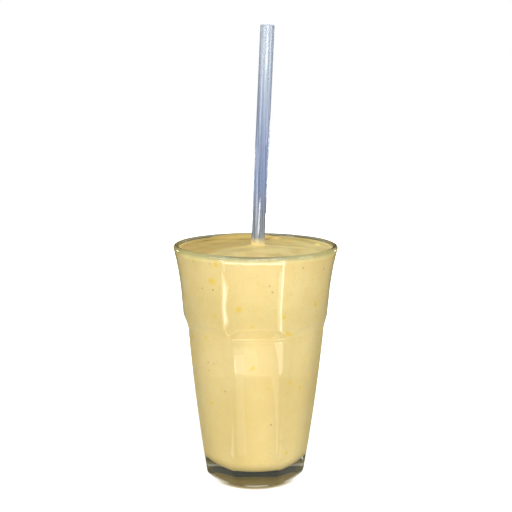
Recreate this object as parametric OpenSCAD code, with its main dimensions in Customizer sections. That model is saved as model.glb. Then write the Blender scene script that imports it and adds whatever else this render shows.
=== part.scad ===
// A thick mango smoothie in a tall pressed glass, with a straight drinking straw.
// The frame stands on the table: the origin is the centre of the foot, +Z is up,
// and one flat side of the glass faces -Y.

/* [Glass] */
// Height of the glass from the table to the lip
glass_h = 140; // [110:1:170]
// Outer diameter at the lip
rim_d = 96.8; // [92:0.1:108]
// Height of the waist, where the wall starts to flare towards the lip
waist_h = 108; // [104:1:112]
// Outer diameter at the waist
waist_d = 87.5; // [86:0.1:100]
// Inward sag of the flare's curve between the waist and the lip
flare_sag = 0.7; // [0.1:0.1:2]
// Radius of the rounded lip, half of the wall's thickness there
lip_r = 1.6; // [1:0.1:2.2]
// Outer diameter across two opposite ridges, just above the foot
foot_d = 63; // [56:0.5:70]
// Radius of the rounded edge under the wall
foot_edge_r = 2.8; // [1:0.1:4]

/* [Flat sides] */
// Number of flat sides cut into the lower wall
side_count = 8; // [6:1:12]
// Height where the flat sides start to run out
shoulder_h = 91.5; // [80:0.5:96]
// Height where the lower wall ends and the straight belt under the waist starts
belt_h = 94; // [90:0.5:98]
// Outer diameter across two opposite ridges at the belt's lower edge
belt_d = 85.2; // [80:0.1:96]
// Outward bow of the lower wall, halfway up
side_bow = 0.9; // [0:0.1:1.5]
// Radius of the scoop that ends each flat side
scoop_r = 8.8; // [6:0.1:14]
// Width of the ridge left between two flat sides at the shoulder
ridge_w = 1.7; // [0.8:0.1:3]

/* [Inside of the glass] */
// Thickness of the glass floor at its middle
floor_t = 8.5; // [6:0.1:12]
// Wall behind the middle of a flat side at the shoulder
shoulder_wall = 2.7; // [2:0.1:4]
// Wall behind the middle of a flat side at the floor
floor_wall = 2.8; // [2:0.1:5]
// Radius of the rounded corner between the floor and the wall
floor_r = 8; // [3:0.5:12]
// Diameter of the hollow under the foot
punt_d = 46; // [30:1:50]
// Depth of the hollow under the foot
punt_t = 1.6; // [0.5:0.1:3]

/* [Smoothie] */
// Distance from the lip down to the drink where it meets the wall
fill_drop = 3.8; // [3:0.1:20]
// Rise of the heaped middle above the drink's edge
heap_h = 2.2; // [0:0.1:4]
// Height of the soft folds on top
fold_h = 0.8; // [0:0.1:1.5]
// Number of folds round the top
fold_count = 5; // [3:1:9]

/* [Straw] */
// Outer diameter of the straw
straw_d = 8; // [5:0.1:10]
// Thickness of the straw's wall
straw_wall = 0.4; // [0.3:0.05:0.8]
// Length of the straw
straw_len = 253; // [180:1:280]
// Lean of the straw from the vertical, towards +X
straw_lean = 2.25; // [0:0.05:4]
// Sideways place of the straw's axis at the height of the lip
straw_x = 1.3; // [-6:0.1:6]
// Clearance between the straw's lower end and the glass floor
straw_lift = 3; // [1:0.5:10]

/* [Hidden] */
$fn = 96;

rim_r = rim_d / 2;
waist_r = waist_d / 2;
foot_r = foot_d / 2;
belt_r = belt_d / 2;
lip_z = glass_h - lip_r;
half_side = 180 / side_count;
// Half the angle that a flat side takes up, between its two ridges
flat_half = half_side - ridge_w / belt_r * 90 / PI;
flat_share = cos(flat_half);
big = 3 * rim_r;
slices = 6;
rings = 10;
spokes = 60;

function lerp(a, b, t) = a + (b - a) * t;

function arc_points(centre, r, from, to, count) = [
    for (i = [0 : count])
        let (a = lerp(from, to, i / count))
        centre + r * [cos(a), sin(a)]
];

// Point on a line from a to b that is bowed by sag, t running from 0 at a to 1 at b
function bowed(a, b, sag, t) = lerp(a, b, t) + [4 * sag * t * (1 - t), 0];

// Outer radius on the ridges of the lower wall, as a point of the outline at height z
function ridge(z) = bowed([foot_r, foot_edge_r], [belt_r, belt_h], side_bow,
    (z - foot_edge_r) / (belt_h - foot_edge_r));
function flat_pt(z) = [ridge(z)[0] * flat_share, z];

// Inner wall: one straight cone from floor to shoulder, one from shoulder to lip
bore_lip_r = rim_r - 2 * lip_r;
bore_shoulder_r = flat_pt(shoulder_h)[0] - shoulder_wall;
bore_floor_r = foot_r * flat_share - floor_wall;
bore_lean = atan((bore_shoulder_r - bore_floor_r) / (shoulder_h - floor_t));
// Where the rounded corner of the floor has its centre
corner_x = bore_floor_r - floor_r * (1 / cos(bore_lean) - tan(bore_lean));
function bore_r(z) = z < shoulder_h
    ? lerp(bore_floor_r, bore_shoulder_r, (z - floor_t) / (shoulder_h - floor_t))
    : lerp(bore_shoulder_r, bore_lip_r, (z - shoulder_h) / (lip_z - shoulder_h));

// Half section of the space inside the glass, up to height top
module bore_section(top) {
    polygon(concat(
        [[0, floor_t]],
        arc_points([corner_x, floor_t + floor_r], floor_r, -90, -bore_lean, 8),
        [[bore_shoulder_r, shoulder_h], [bore_r(top), top], [0, top]]
    ));
}

// Half section of the glass before its flat sides are cut, with a rounded foot and lip
module glass_section() {
    waist_pt = [waist_r, waist_h];
    difference() {
        polygon(concat(
            [[punt_d / 2, 0]],
            arc_points([foot_r - foot_edge_r, foot_edge_r], foot_edge_r, -90, 0, 6),
            [for (i = [1 : slices]) ridge(lerp(foot_edge_r, belt_h, i / slices))],
            [for (i = [0 : slices]) bowed(waist_pt, [rim_r, lip_z], -flare_sag, i / slices)],
            arc_points([rim_r - lip_r, lip_z], lip_r, 15, 180, 11),
            [[0, lip_z], [0, punt_t], [punt_d / 2 - 2 * punt_t, punt_t]]
        ));
        bore_section(lip_z);
    }
}

// Cutter for one flat side: all that lies outside its face, and the scoop that ends it
module side_cutter() {
    scoop_c = flat_pt(shoulder_h) + [scoop_r, 0];
    face = [for (i = [0 : slices - 1]) flat_pt(lerp(foot_edge_r, shoulder_h, i / slices))];
    scoop = arc_points(scoop_c, scoop_r, 180, 100, 8);
    rotate([90, 0, 0])
        translate([0, 0, -big])
        linear_extrude(2 * big)
        polygon(concat([[big, -1], [face[0][0], -1]], face, scoop, [[big, scoop[8][1]]]));
}

module glass() {
    color([0.86, 0.9, 0.87, 0.5])
    difference() {
        rotate_extrude() glass_section();
        for (i = [0 : side_count - 1])
            rotate([0, 0, -90 + i * 360 / side_count]) side_cutter();
    }
}

// The straw's axis: its place at the height of the lip, and its lean
module along_straw() {
    translate([straw_x, 0, glass_h])
        rotate([0, straw_lean, 0])
        translate([0, 0, -(glass_h - floor_t - straw_lift) / cos(straw_lean)])
        children();
}

module straw_tube() {
    along_straw()
    difference() {
        cylinder(h = straw_len, d = straw_d);
        translate([0, 0, -1])
            cylinder(h = straw_len + 2, d = straw_d - 2 * straw_wall);
    }
}

module straw() {
    color([0.72, 0.78, 0.88, 0.7]) straw_tube();
}

// The drink's top: a low heap with folds that wind round it and fade at the wall
fill_z = glass_h - fill_drop;
fill_r = bore_r(fill_z);
function fade(u) = (1 - u) * (1 - u) * (1 + 2 * u);
function fold(u, a) = sin(fold_count * a + 300 * u) * sin(180 * u) * (0.6 + 0.4 * sin(a + 40));
function top_z(u, a) = fill_z + (u < 1 ? heap_h * fade(u) + fold_h * fold(u, a) : 0);

// All that lies above the drink's top, as a closed block wider than the glass
module air() {
    low_pts = [
        for (k = [1 : rings], j = [0 : spokes - 1])
            let (r = rim_r * k / rings, a = 360 * j / spokes)
            [r * cos(a), r * sin(a), top_z(r / fill_r, a)]
    ];
    high_pts = [
        for (j = [0 : spokes - 1])
            let (a = 360 * j / spokes)
            [rim_r * cos(a), rim_r * sin(a), glass_h + 2]
    ];
    function at(k, j) = 2 + (k - 1) * spokes + j % spokes;
    faces = [
        for (j = [0 : spokes - 1]) each concat(
            [[0, at(1, j), at(1, j + 1)], [1, at(rings + 1, j + 1), at(rings + 1, j)]],
            [for (k = [1 : rings]) each [
                [at(k, j), at(k + 1, j), at(k, j + 1)],
                [at(k, j + 1), at(k + 1, j), at(k + 1, j + 1)]]])
    ];
    centre_pts = [[0, 0, top_z(0, 0)], [0, 0, glass_h + 2]];
    polyhedron(points = concat(centre_pts, low_pts, high_pts), faces = faces);
}

module smoothie() {
    color([0.95, 0.8, 0.42])
    difference() {
        rotate_extrude() bore_section(lip_z);
        air();
        straw_tube();
    }
}

glass();
smoothie();
straw();
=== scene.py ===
# %% [markdown]
# A mango smoothie in a tall pressed glass, with a clear straw.
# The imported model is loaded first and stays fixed. The glass, the drink and the straw are
# then modelled again at the same sizes, because light only bends well through smooth,
# even meshes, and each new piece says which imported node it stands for.

# %% Load the frame
import math

import bpy
import numpy as np
from mathutils import Matrix, Vector


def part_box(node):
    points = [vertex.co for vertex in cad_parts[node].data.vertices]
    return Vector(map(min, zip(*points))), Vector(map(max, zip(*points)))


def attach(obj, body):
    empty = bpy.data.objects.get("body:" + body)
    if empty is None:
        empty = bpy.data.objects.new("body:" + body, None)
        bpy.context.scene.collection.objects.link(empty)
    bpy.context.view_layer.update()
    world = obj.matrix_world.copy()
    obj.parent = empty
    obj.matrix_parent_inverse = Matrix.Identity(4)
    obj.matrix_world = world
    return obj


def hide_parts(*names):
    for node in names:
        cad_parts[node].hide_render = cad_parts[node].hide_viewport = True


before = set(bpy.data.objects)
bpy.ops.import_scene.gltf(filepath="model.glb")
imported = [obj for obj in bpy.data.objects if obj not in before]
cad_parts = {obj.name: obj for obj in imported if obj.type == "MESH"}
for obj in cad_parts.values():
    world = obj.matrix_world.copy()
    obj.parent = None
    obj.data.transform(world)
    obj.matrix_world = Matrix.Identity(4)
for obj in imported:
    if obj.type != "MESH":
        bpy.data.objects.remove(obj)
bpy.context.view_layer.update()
bpy.ops.object.select_all(action="DESELECT")
print("nodes:", sorted(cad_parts))

# %% [markdown]
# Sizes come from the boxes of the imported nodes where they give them, and the rest are the
# maker's sizes of the glass. Everything is in metres: one named millimetre keeps it short.

# %% Sizes of the glass
MM = 0.001
glass_low, glass_high = (Vector(c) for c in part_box("glass"))
glass_h = glass_high.z
rim_r = (glass_high.x - glass_low.x) / 2
lip_r = 1.6 * MM
lip_z = glass_h - lip_r
waist_h, waist_r, flare_sag = 108 * MM, 43.75 * MM, 0.7 * MM
belt_h, belt_r = 94 * MM, 42.6 * MM
foot_r, foot_edge_r, side_bow = 31.5 * MM, 2.8 * MM, 0.9 * MM
punt_r, punt_t = 23 * MM, 1.6 * MM
side_count, ridge_w = 8, 1.7 * MM
shoulder_h, scoop_r = 91.5 * MM, 8.8 * MM
floor_t, floor_r = 8.5 * MM, 8 * MM
shoulder_wall, floor_wall = 2.7 * MM, 2.8 * MM
half_side = math.pi / side_count
flat_share = math.cos(half_side - ridge_w / belt_r / 2)
print(f"glass {glass_h / MM:.1f} mm tall, {2 * rim_r / MM:.1f} mm across the lip")


# %% [markdown]
# Two short functions give the outline: a straight way between two points that bows a
# little, and an arc. Tall glass outlines are only these two shapes, one after the other.

# %% Outline helpers
def bowed(a, b, sag, t):
    return (a[0] + (b[0] - a[0]) * t + 4 * sag * t * (1 - t), a[1] + (b[1] - a[1]) * t)


def arc(centre, radius, start, stop, count):
    turns = np.radians(np.linspace(start, stop, count + 1))
    return [(centre[0] + radius * math.cos(a), centre[1] + radius * math.sin(a)) for a in turns]


def ridge_at(z):
    return bowed((foot_r, foot_edge_r), (belt_r, belt_h), side_bow,
                 (z - foot_edge_r) / (belt_h - foot_edge_r))[0]


bore_lip_r = rim_r - 2 * lip_r
bore_shoulder_r = ridge_at(shoulder_h) * flat_share - shoulder_wall
bore_floor_r = foot_r * flat_share - floor_wall
bore_lean = math.atan((bore_shoulder_r - bore_floor_r) / (shoulder_h - floor_t))
corner_x = bore_floor_r - floor_r * (1 / math.cos(bore_lean) - math.tan(bore_lean))


def bore_at(z):
    if z < shoulder_h:
        return bowed((bore_floor_r, floor_t), (bore_shoulder_r, shoulder_h), 0,
                     (z - floor_t) / (shoulder_h - floor_t))[0]
    return bowed((bore_shoulder_r, shoulder_h), (bore_lip_r, lip_z), 0,
                 (z - shoulder_h) / (lip_z - shoulder_h))[0]


print(f"inside: {bore_floor_r / MM:.1f} mm at the floor, {bore_lip_r / MM:.1f} mm at the lip")


# %% [markdown]
# Glass and drink are both turned shapes, so one helper does what a lathe does: it extrudes
# a vertex along a half outline, spins that line once round the upright axis, welds the seam
# and makes the faces point outwards.

# %% A lathe
def turn(name, outline, steps):
    bpy.ops.object.select_all(action="DESELECT")
    bpy.ops.mesh.primitive_plane_add(size=MM, location=(0, 0, 0))
    piece = bpy.context.object
    piece.name = name
    bpy.ops.object.mode_set(mode="EDIT")
    bpy.ops.mesh.select_all(action="SELECT")
    bpy.ops.mesh.merge(type="CENTER")
    here = Vector((0, 0, 0))
    for x, z in outline:
        there = Vector((x, 0, z))
        if here == Vector((0, 0, 0)) and (x, z) == outline[0]:
            bpy.ops.transform.translate(value=there)
        else:
            bpy.ops.mesh.extrude_region_move(TRANSFORM_OT_translate={"value": there - here})
        here = there
    bpy.ops.mesh.select_all(action="SELECT")
    bpy.ops.mesh.spin(steps=steps, angle=2 * math.pi, center=(0, 0, 0), axis=(0, 0, 1))
    bpy.ops.mesh.select_all(action="SELECT")
    bpy.ops.mesh.remove_doubles(threshold=0.002 * MM)
    bpy.ops.mesh.normals_make_consistent(inside=False)
    bpy.ops.object.mode_set(mode="OBJECT")
    bpy.ops.object.transform_apply(location=True, rotation=True, scale=True)
    bpy.ops.object.shade_smooth()
    bpy.ops.object.select_all(action="DESELECT")
    print(f"{name}: {len(piece.data.polygons)} faces")
    return piece


# %% [markdown]
# The glass is one closed skin. Its half outline goes out along the foot, up the outer wall,
# over the round lip, down the bore and in along the floor. The rows are closest at the
# shoulder and the foot edge, where the surface turns quickly.

# %% The half outline of the glass
SIDE_STEPS = 48
foot_round = 4.4 * MM


stand_r = ridge_at(foot_round) - foot_round


def outer_at(z):
    if z < foot_round:
        rise = foot_round - z
        return stand_r + math.sqrt(max(0, foot_round ** 2 - rise ** 2))
    if z < belt_h:
        return ridge_at(z)
    if z < waist_h:
        return bowed((belt_r, belt_h), (waist_r, waist_h), 0, (z - belt_h) / (waist_h - belt_h))[0]
    return bowed((waist_r, waist_h), (rim_r, lip_z), -flare_sag,
                 (z - waist_h) / (lip_z - waist_h))[0]


foot_line = [(0, punt_t)]
foot_line += [(punt_r * t, punt_t * (1 - t ** 4)) for t in np.linspace(0.1, 1, 10)]
foot_line += [(punt_r + (stand_r - punt_r) * t, 0) for t in (0.3, 0.65)]
edge_line = arc((stand_r, foot_round), foot_round, -90, 0, 18)
wall_heights = list(np.linspace(foot_round, 84 * MM, 26)[1:]) + list(
    np.linspace(84 * MM, 101 * MM, 52)[1:]) + list(np.linspace(101 * MM, lip_z, 26)[1:])
wall_line = [(outer_at(z), z) for z in wall_heights]
lip_line = arc((rim_r - lip_r, lip_z), lip_r, 0, 180, 14)[1:]
bore_heights = list(np.linspace(lip_z, shoulder_h, 18)[1:]) + list(
    np.linspace(shoulder_h, floor_t + floor_r, 18)[1:-1])
bore_line = [(bore_at(z), z) for z in bore_heights]
floor_line = arc((corner_x, floor_t + floor_r), floor_r, -math.degrees(bore_lean), -90, 14)
floor_line += [(corner_x * t, floor_t) for t in (0.75, 0.5, 0.25, 0)]
glass_line = foot_line + edge_line + wall_line + lip_line + bore_line + floor_line
print(f"{len(glass_line)} points on the half outline")


# %% [markdown]
# Pressing turns the round wall into flat sides. A point of the wall moves in to the flat, or
# to the hollow scoop above it, wherever that lies deeper, and a soft minimum leaves the small
# round that fire polishing gives each edge. The columns are drawn together at the ridges,
# which keeps those rounds smooth. Bisecting by planes would give sharp edges and no scoops.

# %% Flat sides and scoops
EDGE_ROUND = 0.9 * MM


def soft_least(a, b, width):
    near = np.clip(width - np.abs(a - b), 0, None) / width
    return np.minimum(a, b) - near * near * width / 4


def side_distance(z):
    if z <= shoulder_h:
        return ridge_at(z) * flat_share
    depth = scoop_r ** 2 - (z - shoulder_h) ** 2
    edge = ridge_at(shoulder_h) * flat_share + scoop_r
    return edge - math.sqrt(depth) if depth > 0 else edge


def read_points(piece):
    points = np.empty(len(piece.data.vertices) * 3)
    piece.data.vertices.foreach_get("co", points)
    return points.reshape(-1, 3)


def write_points(piece, points):
    piece.data.vertices.foreach_set("co", points.ravel())
    piece.data.update()


def press_sides(piece):
    points = read_points(piece)
    radius = np.hypot(points[:, 0], points[:, 1])
    angle = np.arctan2(points[:, 1], points[:, 0])
    middle = np.round(angle / (2 * half_side)) * 2 * half_side
    s = (angle - middle) / half_side
    turned = half_side * (1.4 * s - 0.4 * s ** 3)
    outer = np.array([outer_at(max(z, 0)) for z in points[:, 2]])
    wall = (radius > outer - 0.01 * MM) & (points[:, 2] < shoulder_h + scoop_r)
    flat = np.array([side_distance(z) for z in points[:, 2]]) / np.cos(turned)
    radius = np.where(wall, soft_least(radius, flat, EDGE_ROUND), radius)
    points[:, 0] = radius * np.cos(middle + turned)
    points[:, 1] = radius * np.sin(middle + turned)
    write_points(piece, points)


glass = turn("pressed_glass", glass_line, side_count * SIDE_STEPS)
press_sides(glass)
low, high = read_points(glass).min(0), read_points(glass).max(0)
print("glass box, mm:", (low / MM).round(1), (high / MM).round(1))


# %% [markdown]
# The smoothie fills the bore. Its skin lies a little inside the wall of the glass, because
# an air gap there would show as a silver film. A thick drink does not settle level: it heaps
# towards the middle, keeps soft folds from the pour, and climbs a little where it wets the
# wall and the straw. The top is therefore a spun disc whose points are lifted by a formula.

# %% Places on the drink
WALL_REACH = 0.15 * MM
straw_low, straw_high = (Vector(c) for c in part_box("straw"))
straw_d, straw_wall = 8 * MM, 0.4 * MM
straw_lean = math.radians(2.25)
straw_at = Vector((1.3 * MM, 0, glass_h))
fill_z = glass_h - 3.8 * MM
fill_r = bore_at(fill_z) + WALL_REACH
heap_h = 2.2 * MM
straw_in_drink = straw_at.x - (glass_h - fill_z) * math.tan(straw_lean)
print(f"drink meets the wall {(glass_h - fill_z) / MM:.1f} mm below the lip")


# %% [markdown]
# A fold is a soft ridge: a Gaussian across a line, fading at both ends. Each is written as
# its middle, its length and width, its direction and its height, all in millimetres and
# degrees. Negative heights are the creases between folds. The drink also stands higher at the
# back, climbs the wall in a thin film and the straw in a collar, and fills the straw inside.

# %% Folds of the top
FOLDS = [
    (-5, 34, 56, 8.0, -2, 3.2), (-6, 25, 30, 1.8, -2, -1.4), (-29, 24, 24, 2.2, 16, -1.3),
    (-22, 19, 20, 3.0, 12, 1.0), (-36, 8, 12, 4.0, 40, 0.4), (10, 25, 10, 1.6, 2, -1.4),
    (13, 22, 7, 1.8, 10, 1.5), (25, 29, 20, 2.4, -20, -1.4), (20, 17, 18, 3.4, -14, 0.8),
    (38, 9, 4, 1.8, 35, 1.3), (25, -3, 9, 2.6, -8, 0.6), (17, 4, 16, 2.6, -5, -0.35),
    (-4, -4, 12, 2.0, 10, 0.35), (-12, -12, 18, 4.0, 24, -0.4), (-2, -17, 18, 3.5, 8, 0.35),
    (-14, -28, 18, 5.0, -12, 0.25), (12, -24, 16, 4.0, 14, -0.25), (-30, -16, 12, 3.5, -50, -0.3),
]
BACK_RISE = 2.0 * MM
FILM_RISE, FILM_REACH = 2.2 * MM, 0.3 * MM
COLLAR_RISE, COLLAR_REACH = 0.8 * MM, 0.8 * MM
COLUMN_R, COLUMN_DISH = 3.95 * MM, 0.5 * MM
column_top = glass_h + 2.6 * MM


def top_height(x, y):
    radius = np.hypot(x, y)
    share = np.clip(radius / fill_r, 0, 1)
    z = fill_z + BACK_RISE * (1 + y / fill_r) / 2 + heap_h * (1 - share) ** 2 * (1 + 2 * share)
    inside = np.clip((1 - share) * 8, 0, 1)
    # The depth of each crease is kept, to paint shade into it.
    crease_shade = np.zeros_like(z)
    for cx, cy, length, width, turn_by, height in FOLDS:
        c, s = math.cos(math.radians(turn_by)), math.sin(math.radians(turn_by))
        along = (x / MM - cx) * c + (y / MM - cy) * s
        across = (y / MM - cy) * c - (x / MM - cx) * s + 0.012 * along ** 2
        fold = inside * height * np.exp(-(along / length * 2) ** 2 - (across / width) ** 2)
        z += fold * MM
        crease_shade = np.maximum(crease_shade, -fold)
    film = np.exp(-np.clip(fill_r - radius, 0, None) / FILM_REACH)
    z += FILM_RISE * film * (0.55 - 0.45 * y / fill_r)
    from_straw = np.hypot(x - straw_in_drink, y)
    z += COLLAR_RISE * np.exp(-np.abs(from_straw - straw_d / 2) / COLLAR_REACH)
    column = column_top + COLUMN_DISH * np.exp(-np.abs(from_straw - 3.6 * MM) / COLUMN_DISH)
    inside = np.clip((COLUMN_R - from_straw) / (0.3 * MM), 0, 1)
    return z + (column - z) * inside, crease_shade


# %% [markdown]
# The half outline of the drink goes out along the floor of the bore, round its corner, up the
# wall and back over the top to the middle. The rows of the top are closest near the straw.

# %% The smoothie
corner_line = [(x + WALL_REACH * math.cos(math.radians(a)), z + WALL_REACH * math.sin(math.radians(a)))
               for (x, z), a in zip(arc((corner_x, floor_t + floor_r), floor_r, -90,
                                        -math.degrees(bore_lean), 14),
                                    np.linspace(-90, -math.degrees(bore_lean), 15))]
drink_line = [(corner_x * t, floor_t - WALL_REACH) for t in (0, 0.25, 0.5, 0.75)] + corner_line
side_heights = np.linspace(floor_t + floor_r, fill_z, 141)[1:]
drink_line += [(bore_at(z) + WALL_REACH, z) for z in side_heights]
top_radii = [fill_r - d * MM for d in (0.1, 0.2, 0.3, 0.45, 0.6, 0.8, 1.1, 1.5, 2.0, 2.5, 3.0)]
top_radii += list(np.linspace(fill_r - 3 * MM, 8 * MM, 50)[1:])
top_radii += list(np.linspace(8 * MM, 4.4 * MM, 15)[1:])
top_radii += [r * MM for r in (4.2, 4.05, 3.95, 3.85, 3.75, 3.65, 3.5, 3.3, 3.0, 2.6, 2.0, 1.4, 0.7, 0)]
drink_line += [(r, fill_z) for r in top_radii]
smoothie = turn("mango_smoothie", drink_line, 320)
points = read_points(smoothie)
top = points[:, 2] > fill_z - 0.001 * MM
spread = np.hypot(points[:, 0], points[:, 1])
points[top, 0] += straw_in_drink * np.clip((8 * MM - spread[top]) / (3.4 * MM), 0, 1)
crease_shade = np.zeros(len(points))
points[top, 2], crease_shade[top] = top_height(points[top, 0], points[top, 1])
brim = top & (np.hypot(points[:, 0], points[:, 1]) > fill_r - 0.02 * MM)
climb = np.array([bore_at(z) for z in points[brim, 2]]) + WALL_REACH
points[brim, :2] *= (climb / np.hypot(points[brim, 0], points[brim, 1]))[:, None]
write_points(smoothie, points)
print(f"top of the drink at {points[:, 2].max() / MM:.1f} mm")


# %% [markdown]
# The straw is a thin tube of clear plastic. It is spun from the closed section of its wall,
# with both cut ends slightly rounded as extruded plastic is after cutting, and then tipped
# about the point where it crosses the plane of the lip.

# %% The straw
straw_r = straw_d / 2
straw_end = (straw_high.z - straw_at.z) / math.cos(straw_lean) - straw_r * math.tan(straw_lean)
straw_start = (straw_low.z - straw_at.z) / math.cos(straw_lean) + straw_r * math.tan(straw_lean)
half_wall = straw_wall / 2
section = [(straw_r, z) for z in np.linspace(straw_start + half_wall, straw_end - half_wall, 41)]
section += arc((straw_r - half_wall, straw_end - half_wall), half_wall, 0, 180, 6)[1:-1]
section += [(straw_r - straw_wall, z)
            for z in np.linspace(straw_end - half_wall, straw_start + half_wall, 41)]
section += arc((straw_r - half_wall, straw_start + half_wall), half_wall, 180, 360, 6)[1:]
straw = turn("drinking_straw", section, 96)
bpy.context.view_layer.objects.active = straw
straw.select_set(True)
bpy.ops.object.mode_set(mode="EDIT")
bpy.ops.mesh.select_all(action="SELECT")
bpy.ops.transform.rotate(value=-straw_lean, orient_axis="Y", center_override=(0, 0, 0))
bpy.ops.transform.translate(value=straw_at)
bpy.ops.object.mode_set(mode="OBJECT")
bpy.ops.object.select_all(action="DESELECT")
low, high = read_points(straw).min(0), read_points(straw).max(0)
print("straw box, mm:", (low / MM).round(1), (high / MM).round(1),
      "packed:", [round(c / MM, 1) for c in (*straw_low, *straw_high)])


# %% [markdown]
# Shader maths reads best as plain expressions, so a small class wraps a socket. Numbers and
# other sockets are added, subtracted, multiplied or compared, and each step adds its node.

# %% Shader maths
class Sock:
    def __init__(self, tree, socket):
        self.tree, self.socket = tree, socket

    def node(self, kind, settings=None, out=0, **inputs):
        made = self.tree.nodes.new(kind)
        for key, value in (settings or {}).items():
            setattr(made, key, value)
        for name, value in inputs.items():
            numbered = name[1:].isdigit()
            slot = made.inputs[int(name[1:]) if numbered else name.replace("_", " ")]
            if isinstance(value, Sock):
                self.tree.links.new(value.socket, slot)
            else:
                slot.default_value = value
        return Sock(self.tree, made.outputs[out])

    def math(self, operation, a, b=0.0, clamp=False):
        return self.node("ShaderNodeMath", {"operation": operation, "use_clamp": clamp}, i0=a, i1=b)

    def __add__(self, other):
        return self.math("ADD", self, other)

    __radd__ = __add__

    def __sub__(self, other):
        return self.math("SUBTRACT", self, other)

    def __rsub__(self, other):
        return self.math("SUBTRACT", other, self)

    def __mul__(self, other):
        return self.math("MULTIPLY", self, other)

    __rmul__ = __mul__

    def __gt__(self, other):
        return self.math("GREATER_THAN", self, other)

    def clamp(self):
        return self.math("ADD", self, 0.0, clamp=True)

    def between(self, low, high):
        return self.node("ShaderNodeMapRange", {"interpolation_type": "SMOOTHSTEP"},
                         Value=self, i1=low, i2=high)

    def blend(self, a, b):
        return self.node("ShaderNodeMix", {"data_type": "RGBA"}, 2, i0=self, i6=a, i7=b)


def fresh_material(name):
    material = bpy.data.materials.new(name)
    material.use_nodes = True
    tree = material.node_tree
    tree.nodes.clear()
    out = tree.nodes.new("ShaderNodeOutputMaterial")
    return material, tree, out, Sock(tree, None)


def place(sock, stretch=(1, 1, 1)):
    spot = sock.node("ShaderNodeTexCoord", out="Object")
    return sock.node("ShaderNodeMapping", Vector=spot, Scale=stretch)


def noise(sock, where, scale, detail=3.0, roughness=0.5):
    return sock.node("ShaderNodeTexNoise", Vector=where, Scale=scale, Detail=detail,
                     Roughness=roughness)


def tone(r, g, b):
    return tuple(((c / 255 + 0.055) / 1.055) ** 2.4 if c > 10 else c / 3294 for c in (r, g, b)) + (1,)


# %% [markdown]
# Soda glass is clear on a thin edge and grey-green through a long way, so its colour belongs
# in the volume. The surface has very slight waves from the mould and a breath of haze; painted
# shade makes it greyer where it is seen edge on and at the lip, for the dark room they mirror.
# Lamps and soft light shine straight through onto the drink: a switch on shadow and diffuse rays
# does that without noisy caustics. The straw takes the same recipe, half cloudy, blue-tinted and
# with painted reflections of the room in its colour.

# %% Glass finish
def clear_finish(name, ior, haze, absorb_colour, absorb_density, wave_scale, wave_height, stretch,
                 colour_with_painted_light, clearness=1.0):
    material, tree, out, sock = fresh_material(name)
    where = place(sock, stretch)
    waves = noise(sock, where, wave_scale, 2.0)
    smears = noise(sock, where, wave_scale * 3.1, 4.0, 0.6)
    bump = sock.node("ShaderNodeBump", Height=waves, Strength=1.0, Distance=wave_height)
    shell = sock.node("ShaderNodeBsdfPrincipled", Base_Color=colour_with_painted_light(sock),
                      Roughness=haze * smears.between(0.45, 0.8), Normal=bump,
                      IOR=ior, Transmission_Weight=clearness)
    through = sock.node("ShaderNodeBsdfTransparent", Color=(0.93, 0.94, 0.92, 1))
    paths = sock.node("ShaderNodeLightPath", out="Is Diffuse Ray")
    indoors = sock.node("ShaderNodeMixShader", i0=paths, i1=shell, i2=through)
    lamp_ray = sock.node("ShaderNodeLightPath", out="Is Shadow Ray")
    surface = sock.node("ShaderNodeMixShader", i0=lamp_ray, i1=indoors, i2=through)
    volume = sock.node("ShaderNodeVolumeAbsorption", Color=absorb_colour, Density=absorb_density)
    tree.links.new(surface.socket, out.inputs["Surface"])
    tree.links.new(volume.socket, out.inputs["Volume"])
    print(f"finish {name}: {len(tree.nodes)} nodes")
    return material


def glass_tint_and_edge_shade(sock):
    spot = sock.node("ShaderNodeTexCoord", out="Object")
    up = sock.node("ShaderNodeSeparateXYZ", Vector=spot, out=2)
    drift = noise(sock, place(sock), 25.0).between(0.3, 0.7)
    body = drift.blend(tone(250, 252, 248), tone(255, 255, 255))
    # Painted shade: greyer where the glass is seen edge on.
    grazing = sock.node("ShaderNodeLayerWeight", Blend=0.5, out="Facing").between(0.70, 0.97)
    body = (grazing * 0.8).blend(body, tone(176, 182, 172))
    # Painted shade: the lip is greyer.
    lip = up.between(lip_z - 1.0 * MM, lip_z + 0.8 * MM)
    return lip.blend(body, tone(202, 206, 190))


def straw_tint_and_reflections(sock):
    spot = sock.node("ShaderNodeTexCoord", out="Object")
    up = sock.node("ShaderNodeSeparateXYZ", Vector=spot, out=2)
    streaks = noise(sock, place(sock, (1, 1, 0.012)), 620.0, 1.0).between(0.32, 0.68)
    # Painted reflections of the room: grey low down, blue in the middle and pale at the top.
    low = streaks.blend(tone(136, 142, 152), tone(186, 190, 200))
    middle = streaks.blend(tone(134, 148, 176), tone(188, 198, 226))
    high = streaks.blend(tone(192, 200, 214), tone(220, 226, 234))
    painted_room_reflections = up.between(0.148, 0.18).blend(low, up.between(0.18, 0.262).blend(middle, high))
    return up.between(0.1400, 0.1450).blend(streaks.blend(tone(196, 188, 172), tone(226, 216, 194)), painted_room_reflections)


glass_finish = clear_finish("green_grey_glass", 1.52, 0.03, (0.72, 0.735, 0.71, 1), 80.0,
                            60.0, 0.04 * MM, (1, 1, 0.5), glass_tint_and_edge_shade)
straw_finish = clear_finish("clear_blue_plastic", 1.49, 0.10, (0.55, 0.68, 0.90, 1), 60.0,
                            500.0, 0.002 * MM, (1, 1, 0.02), straw_tint_and_reflections, 0.62)
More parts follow.
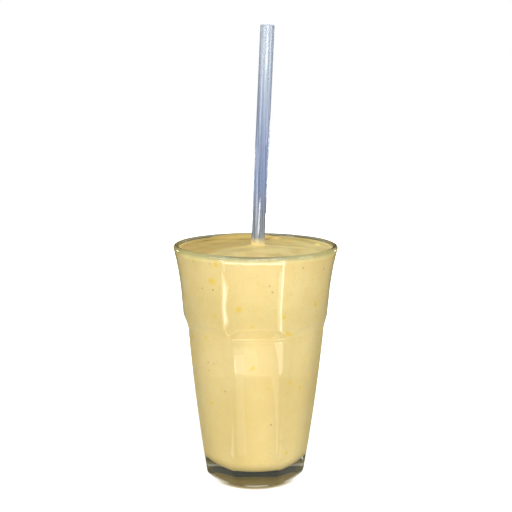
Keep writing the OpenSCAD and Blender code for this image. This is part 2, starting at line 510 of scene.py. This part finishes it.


# %% [markdown]
# Bits of fruit that the blender missed show as soft yellow shreds against the glass. Each is a
# blurred spot on the skin of the drink, so it is stored as a number on every point instead of
# being drawn by a texture. The large ones in front are listed one by one, as degrees round the
# glass, height and size in millimetres, and seeded chance spreads the rest round the back.
# The same loop of attributes marks the open top, its creases for painted shade and the thin film
# at the wall.

# %% Yellow shreds as an attribute
SHREDS = [(-125, 125, 2.3), (-105, 110, 2.0), (-70, 105, 1.4), (-65, 95, 2.0), (-95, 75, 1.7),
          (-140, 50, 1.5), (-55, 20, 1.6), (-140, 90, 1.4), (-125, 60, 1.2), (-60, 65, 1.4),
          (-45, 60, 1.4), (-95, 100, 1.1), (-120, 135, 1.5), (-125, 105, 1.0), (-45, 35, 0.9)]
HIDDEN_SHREDS = 34
rng = np.random.default_rng(7)
shreds = list(SHREDS)
for _ in range(HIDDEN_SHREDS):
    shreds.append((rng.uniform(-40, 220), rng.uniform(16, 130), rng.uniform(0.5, 1.7)))
points = read_points(smoothie)
azimuth = np.degrees(np.arctan2(points[:, 1], points[:, 0]))
radius = np.hypot(points[:, 0], points[:, 1])
pulp = np.zeros(len(points))
for angle, height, size in shreds:
    away = (azimuth - angle + 180) % 360 - 180
    dx = np.radians(away) * radius / MM
    dz = points[:, 2] / MM - height
    tilt = rng.uniform(-0.6, 0.6)
    dist = ((dx + tilt * dz) / size) ** 2 + (dz / (size * rng.uniform(0.7, 1.3))) ** 2
    strength = rng.uniform(0.7, 1.0)
    pulp = np.maximum(pulp, np.where(top, 0, strength * np.exp(-dist)))
attribute = smoothie.data.attributes.new("pulp", "FLOAT", "POINT")
attribute.data.foreach_set("value", pulp.astype(np.float32))
wall_gap = fill_r - np.hypot(points[:, 0], points[:, 1])
film = np.where(top, np.exp(-np.clip(wall_gap, 0, None) / (0.5 * MM)), 0)
film *= np.clip(0.5 - 0.5 * points[:, 1] / fill_r, 0, 1) ** 2
for name, values in (("open_top", top), ("crease_shade", crease_shade), ("film", film)):
    attribute = smoothie.data.attributes.new(name, "FLOAT", "POINT")
    attribute.data.foreach_set("value", values.astype(np.float32))
print(f"{len(shreds)} shreds of pulp")


# %% [markdown]
# Blended mango is an opaque cream. Light enters a little way and comes out warmer, so a touch
# of subsurface scattering softens it. Its colour drifts between paler and riper patches, with
# a fine grain of pulp, the yellow shreds and a few brown specks, placed like the shreds. Only
# the open top is glossy: under the glass the drink touches the wall, so it has no gloss of its
# own there. Painted shade makes the top darker at the back, on the left and in its creases, and
# painted light makes it paler in front and on the right.

# %% Smoothie finish
SPECKS = [(-140, 135, 0.6), (-125, 135, 0.5), (-140, 75, 0.7), (-125, 120, 0.8), (-80, 120, 0.7),
          (-120, 60, 0.8), (-75, 40, 0.8), (-35, 130, 0.8), (-135, 120, 0.6), (-140, 70, 0.6)]


def drink_finish(name):
    material, tree, out, sock = fresh_material(name)
    where = place(sock)
    broad = noise(sock, where, 28.0, 2.0).between(0.35, 0.65)
    cloud = noise(sock, where, 110.0, 3.0).between(0.35, 0.68)
    grain = noise(sock, where, 900.0, 2.0, 0.6)
    base = broad.blend(tone(233, 207, 142), tone(238, 215, 153))
    base = (cloud * 0.35).blend(base, tone(230, 201, 127))
    base = (grain.between(0.52, 0.72) * 0.35).blend(base, tone(224, 190, 113))
    across = sock.node("ShaderNodeSeparateXYZ", Vector=where, out=0)
    deep = sock.node("ShaderNodeSeparateXYZ", Vector=where, out=1)
    # Painted light: the top is paler in front and to the right, and darker on the left.
    lit_front_right_patch = (across * 0.5 - deep + (broad + cloud) * 0.005).between(0.002, 0.011)
    lit_towards_right = across.between(-0.03, 0.035)
    top_colour_and_shade = lit_front_right_patch.blend(lit_towards_right.blend(tone(224, 191, 114), tone(255, 228, 148)), tone(254, 230, 156))
    # Painted shade: the top darkens towards the back.
    top_colour_and_shade = (deep.between(0.012, 0.034) * 0.45).blend(top_colour_and_shade, tone(186, 160, 96))
    wet = sock.node("ShaderNodeAttribute", {"attribute_name": "open_top"}, "Fac")
    crease_shade = sock.node("ShaderNodeAttribute", {"attribute_name": "crease_shade"}, "Fac")
    # Painted shade in the creases between the folds.
    top_colour_and_shade = (crease_shade * 0.8).blend(top_colour_and_shade, tone(146, 118, 58))
    film = sock.node("ShaderNodeAttribute", {"attribute_name": "film"}, "Fac")
    top_colour_and_shade = (film * 0.9).blend(top_colour_and_shade, tone(244, 232, 188))
    base = (wet * 0.9).blend(base, (cloud * 0.3).blend(top_colour_and_shade, tone(208, 173, 92)))
    pulp_mask = sock.node("ShaderNodeAttribute", {"attribute_name": "pulp"}, "Fac")
    ragged = (pulp_mask * (0.6 + grain * 0.8)).between(0.12, 0.9)
    base = (ragged * 0.8).blend(base, tone(236, 200, 72))
    cells = sock.node("ShaderNodeTexVoronoi", {"feature": "F1"}, "Distance", Vector=where, Scale=170.0)
    pick = sock.node("ShaderNodeTexVoronoi", {"feature": "F1"}, "Color", Vector=where, Scale=170.0)
    red = sock.node("ShaderNodeSeparateColor", Color=pick)
    speck = (1 - cells.between(0.05, 0.13)) * (red > 0.955)
    for angle, height, size in SPECKS:
        turn_by, height = math.radians(angle), height * MM
        reach = bore_at(height) + WALL_REACH
        centre = (reach * math.cos(turn_by), reach * math.sin(turn_by), height)
        away = sock.node("ShaderNodeVectorMath", {"operation": "DISTANCE"}, "Value",
                         i0=where, i1=centre)
        speck = speck + (1 - away.between(size * 0.4 * MM, size * MM))
    base = (speck.clamp() * 0.5).blend(base, tone(150, 92, 36))
    bump = sock.node("ShaderNodeBump", Height=grain, Strength=0.35, Distance=0.08 * MM)
    skin = sock.node("ShaderNodeBsdfPrincipled", Base_Color=base,
                     Roughness=0.45 + cloud * 0.12, Normal=bump, IOR=1.08,
                     Coat_Weight=wet * (0.22 + cloud * 0.16), Coat_IOR=1.38, Coat_Roughness=0.22,
                     Subsurface_Weight=0.35, Subsurface_Scale=0.003,
                     Subsurface_Radius=(1.0, 0.6, 0.25))
    tree.links.new(skin.socket, out.inputs["Surface"])
    print(f"finish {name}: {len(tree.nodes)} nodes")
    return material


smoothie_finish = drink_finish("blended_mango")


# %% [markdown]
# Each piece gets its finish, rides on the one body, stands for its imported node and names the
# material slot of the record.

# %% Join the frame
for piece, finish, node in ((glass, glass_finish, "glass"), (smoothie, smoothie_finish, "smoothie"),
                            (straw, straw_finish, "straw")):
    piece.data.materials.clear()
    piece.data.materials.append(finish)
    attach(piece, "root")
    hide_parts(node)
    print(piece.name, "stands for", node)


# %% [markdown]
# The floor is a wide pale disc. Seen directly it is almost white, apart from a painted amber
# shadow just in front of the foot, where the drink would throw its coloured shade. Clear glass on
# white would lose its edges, so rays that went through or off the glass meet a duller, warmer
# table top instead. Those that were mirrored also meet a brighter ring in front, which gives
# the lower flats their sheen. Light Path nodes tell the rays apart.

# %% Floor
bpy.ops.mesh.primitive_circle_add(vertices=96, radius=6.0, fill_type="NGON", location=(0, 0, 0))
floor = bpy.context.object
floor.name = "pale_floor"
floor_material, tree, out, sock = fresh_material("pale_floor")
grain = noise(sock, place(sock), 40.0)
spot = sock.node("ShaderNodeTexCoord", out="Object")
away = sock.node("ShaderNodeVectorMath", {"operation": "LENGTH"}, "Value", i0=spot)
back = sock.node("ShaderNodeSeparateXYZ", Vector=spot, out=1)
# Painted amber shadow on the floor just in front of the foot.
painted_amber_shadow = (1 - away.between(29 * MM, 32.5 * MM)) * (0 - back).between(14 * MM, 27 * MM)
paper = grain.between(0.3, 0.7).blend(tone(250, 250, 250), tone(255, 255, 255))
paper = painted_amber_shadow.blend(paper, tone(150, 132, 88))
seen = sock.node("ShaderNodeBsdfDiffuse", Color=paper)
glow = 0.45 + away.between(50 * MM, 300 * MM) * 0.6
lift = sock.node("ShaderNodeEmission", Color=paper, Strength=glow)
direct = sock.node("ShaderNodeAddShader", i0=seen, i1=lift)
ring = away.between(156 * MM, 165 * MM) * (1 - away.between(200 * MM, 360 * MM))
ring = ring * (50 * MM - back).between(0, 150 * MM)
glossy = sock.node("ShaderNodeLightPath", out="Is Glossy Ray")
far_table = back.between(0, 100 * MM).blend(tone(88, 97, 108), tone(112, 110, 88))
table = away.between(100 * MM, 600 * MM).blend(tone(196, 189, 172), far_table)
dull = sock.node("ShaderNodeEmission", Color=table, Strength=1.1 + ring * glossy * 1.6)
camera_ray = sock.node("ShaderNodeLightPath", out="Is Camera Ray")
floor_mix = sock.node("ShaderNodeMixShader", i0=camera_ray, i1=dull, i2=direct)
tree.links.new(floor_mix.socket, out.inputs["Surface"])
floor.data.materials.append(floor_material)
print("floor staged")


# %% [markdown]
# A world is what a scene sees beyond its lamps. The camera sees plain white. The glass sees a
# room: pale in front, where the windows would be, and dark behind, with a paler patch low on
# either side. The dark part is what draws the dark lines of the rim and the base.

# %% Surroundings
world = bpy.data.worlds.new("studio")
bpy.context.scene.world = world
world.use_nodes = True
tree = world.node_tree
tree.nodes.clear()
out = tree.nodes.new("ShaderNodeOutputWorld")
sock = Sock(tree, None)
direction = sock.node("ShaderNodeTexCoord", out="Generated")
behind = sock.node("ShaderNodeSeparateXYZ", Vector=direction, out=1)
upward = sock.node("ShaderNodeSeparateXYZ", Vector=direction, out=2)
front = (0 - behind).between(0.0, 0.9)
dark_side = upward.between(-0.15, 0.5).blend(tone(40, 44, 42), tone(104, 108, 106))
across = sock.node("ShaderNodeSeparateXYZ", Vector=direction, out=0)
to_side = (across > 0) * across.between(0.4, 0.75) + (0 - across).between(0.4, 0.75)
glint = to_side * (1 - upward.between(0.05, 0.3)) * 0.8
dark_side = glint.blend(dark_side, tone(176, 190, 202))
light_side = upward.between(-0.1, 0.45).blend(tone(168, 170, 168), tone(220, 221, 220))
room = front.blend(dark_side, light_side)
lit = sock.node("ShaderNodeBackground", Color=room, Strength=1.0)
white = sock.node("ShaderNodeBackground", Color=(1, 1, 1, 1), Strength=1.0)
camera_ray = sock.node("ShaderNodeLightPath", out="Is Camera Ray")
mixed = sock.node("ShaderNodeMixShader", i0=camera_ray, i1=lit, i2=white)
tree.links.new(mixed.socket, out.inputs["Surface"])
print(f"surroundings: {len(tree.nodes)} nodes")


# %% [markdown]
# Large area lamps give soft light with soft edges: a main one in front, a fill on the left, a
# weaker one on the right, and small ones that add sparkle. The two behind only light matt
# surfaces, so that the back is lit but no lamp shows through the glass or the straw.

# %% Lamps
def lamp(name, spot, aim, size, watts, colour=(1, 1, 1)):
    data = bpy.data.lights.new(name, "AREA")
    data.shape = "RECTANGLE"
    data.size, data.size_y = size
    data.energy, data.color = watts, colour
    holder = bpy.data.objects.new(name, data)
    bpy.context.scene.collection.objects.link(holder)
    holder.location = spot
    holder.rotation_euler = (Vector(aim) - Vector(spot)).to_track_quat("-Z", "Y").to_euler()
    holder.visible_camera = False
    return holder


middle = (0, 0, 0.08)
lamp("key", (0.30, -1.35, 0.62), middle, (0.7, 0.6), 9.7)
lamp("fill", (-1.05, -0.75, 0.45), middle, (0.6, 0.9), 6.9)
lamp("side", (1.15, -0.45, 0.5), middle, (0.5, 0.8), 4.8)
lamp("overhead_left", (-0.39, -0.24, 1.34), middle, (0.22, 0.22), 1.0)
lamp("overhead_right", (0.32, -0.15, 1.34), middle, (0.22, 0.22), 1.0)
lamp("window", (-0.10, -1.30, 0.22), (0, 0, 0.2), (0.26, 0.40), 0.9)
lamp("low_front", (0.0, -0.7, 0.06), (0, 0, 0.05), (0.3, 0.08), 0.95)
lamp("low_back_left", (-0.7, 0.7, 0.12), (0, 0, 0), (0.16, 0.16), 0.7, (0.8, 0.9, 1))
lamp("low_back_right", (0.7, 0.75, 0.12), (0, 0, 0), (0.16, 0.16), 0.7, (0.8, 0.9, 1))
BACK_LAMPS = (("back_fill", (0.35, 1.3, 0.26), 9.0), ("back_side", (-1.0, 0.9, 0.26), 5.0))
for name, spot, watts in BACK_LAMPS:
    soft = lamp(name, spot, middle, (0.9, 0.5), watts)
    soft.visible_glossy = False
    soft.visible_transmission = False
print(f"{len(bpy.data.lights)} lamps in the room")


# %% [markdown]
# The sharp highlights on pressed glass are mirror images of bright things near it. The front
# of this glass looks down onto the table, so thin lamps lie there, facing up and unseen by the
# camera. Each has its own height, because lamps in one plane hide one another. They are given
# by bearing from the front in degrees and by distance in metres, or straight by place. One
# bowed row of short strips makes the long thin line under the lip.

# %% Light strips on the table
def table_strip(name, start, end, width, radiance, z):
    """A thin lamp lying on the table between two points, facing up."""
    start, end = Vector((*start, z)), Vector((*end, z))
    length = (end - start).length
    data = bpy.data.lights.new(name, "AREA")
    data.shape = "RECTANGLE"
    data.size, data.size_y = length, width
    data.energy = radiance * math.pi * length * width
    holder = bpy.data.objects.new(name, data)
    bpy.context.scene.collection.objects.link(holder)
    along = (end - start).normalized()
    holder.matrix_world = Matrix.Translation((start + end) / 2) @ Matrix(
        (along, Vector((0, 0, 1)).cross(along) * -1, Vector((0, 0, -1)))).transposed().to_4x4()
    holder.visible_camera = False
    return holder


def on_table(azimuth, radius):
    turn_by = math.radians(azimuth)
    return (radius * math.sin(turn_by), -radius * math.cos(turn_by))


LINE_STRIPS = (
    ("left_line", (-45, 0.258), (-50, 0.335), 0.044, 2.2, 0.003),
    ("left_core", (-45.5, 0.262), (-49.5, 0.332), 0.024, 5, 0.005),
    ("left_line_near", (-46, 0.05), (-46, 0.250), 0.014, 1.6, 0.003),
    ("right_line", (34, 0.245), (33, 0.335), 0.034, 2.2, 0.003),
    ("right_core", (36, 0.236), (34, 0.335), 0.014, 5, 0.005),
    ("right_line_near", (38, 0.05), (36.5, 0.240), 0.014, 1.8, 0.003),
)
for name, first, last, width, radiance, z in LINE_STRIPS:
    table_strip(name, on_table(*first), on_table(*last), width, radiance, z)
EDGE_STRIPS = 8


def near_edge(share):
    """A place on the bowed line that ends the table, from its left end at 0 to its right at 1."""
    bearing = -48 + 86 * share
    return on_table(bearing, 0.227 + 0.0154 * ((bearing + 3) / 45) ** 2)


for number in range(EDGE_STRIPS):
    first, last = near_edge(number / EDGE_STRIPS), near_edge((number + 1) / EDGE_STRIPS)
    table_strip(f"near_edge{number}", first, last, 0.0045, 6.5, 0.003)
SHEEN_STRIPS = (
    ("sheet", (-0.03, -0.190), (0.07, -0.190), 0.060, 0.5, 0.001),
    ("glow_left", (-0.010, -0.161), (-0.010, -0.212), 0.034, 0.7, 0.002),
    ("glow_left_inner", (-0.014, -0.161), (-0.014, -0.196), 0.022, 1.3, 0.003),
    ("glow_left_core", (-0.017, -0.161), (-0.017, -0.184), 0.014, 2.4, 0.004),
    ("glow_right", (0.036, -0.160), (0.036, -0.226), 0.026, 2.6, 0.002),
    ("streak_left", (-0.010, -0.055), (-0.010, -0.158), 0.010, 0.7, 0.002),
    ("streak_right", (0.019, -0.055), (0.019, -0.158), 0.006, 1.0, 0.002),
)
for strip in SHEEN_STRIPS:
    table_strip(*strip)
print(f"{len(LINE_STRIPS) + EDGE_STRIPS + len(SHEEN_STRIPS)} strips on the table")


# %% [markdown]
# The camera stands a little above the lip, almost in front of one flat side, and looks down by
# about ten degrees. It is set by its bearing round the glass, distance, height and pitch.

# %% Camera
camera_data = bpy.data.cameras.new("view")
camera = bpy.data.objects.new("view", camera_data)
bpy.context.scene.collection.objects.link(camera)
around, distance, height, pitch, roll = (math.radians(-2.48), 0.4316, 0.2067,
                                         math.radians(9.75), math.radians(0.25))
camera.location = (distance * math.sin(around), -distance * math.cos(around), height)
camera.matrix_world = (Matrix.Translation(camera.location)
                       @ Matrix.Rotation(around, 4, "Z")
                       @ Matrix.Rotation(math.pi / 2 - pitch, 4, "X")
                       @ Matrix.Rotation(roll, 4, "Z"))
camera_data.sensor_width = 36
camera_data.lens = 51.95
camera_data.shift_x = 0.0009
camera_data.clip_start = 0.01
bpy.context.scene.camera = camera
bpy.context.scene.view_settings.view_transform = "Standard"
bpy.context.scene.cycles.caustics_refractive = False
bpy.context.scene.cycles.caustics_reflective = False
print("camera at", [round(c, 3) for c in camera.location])
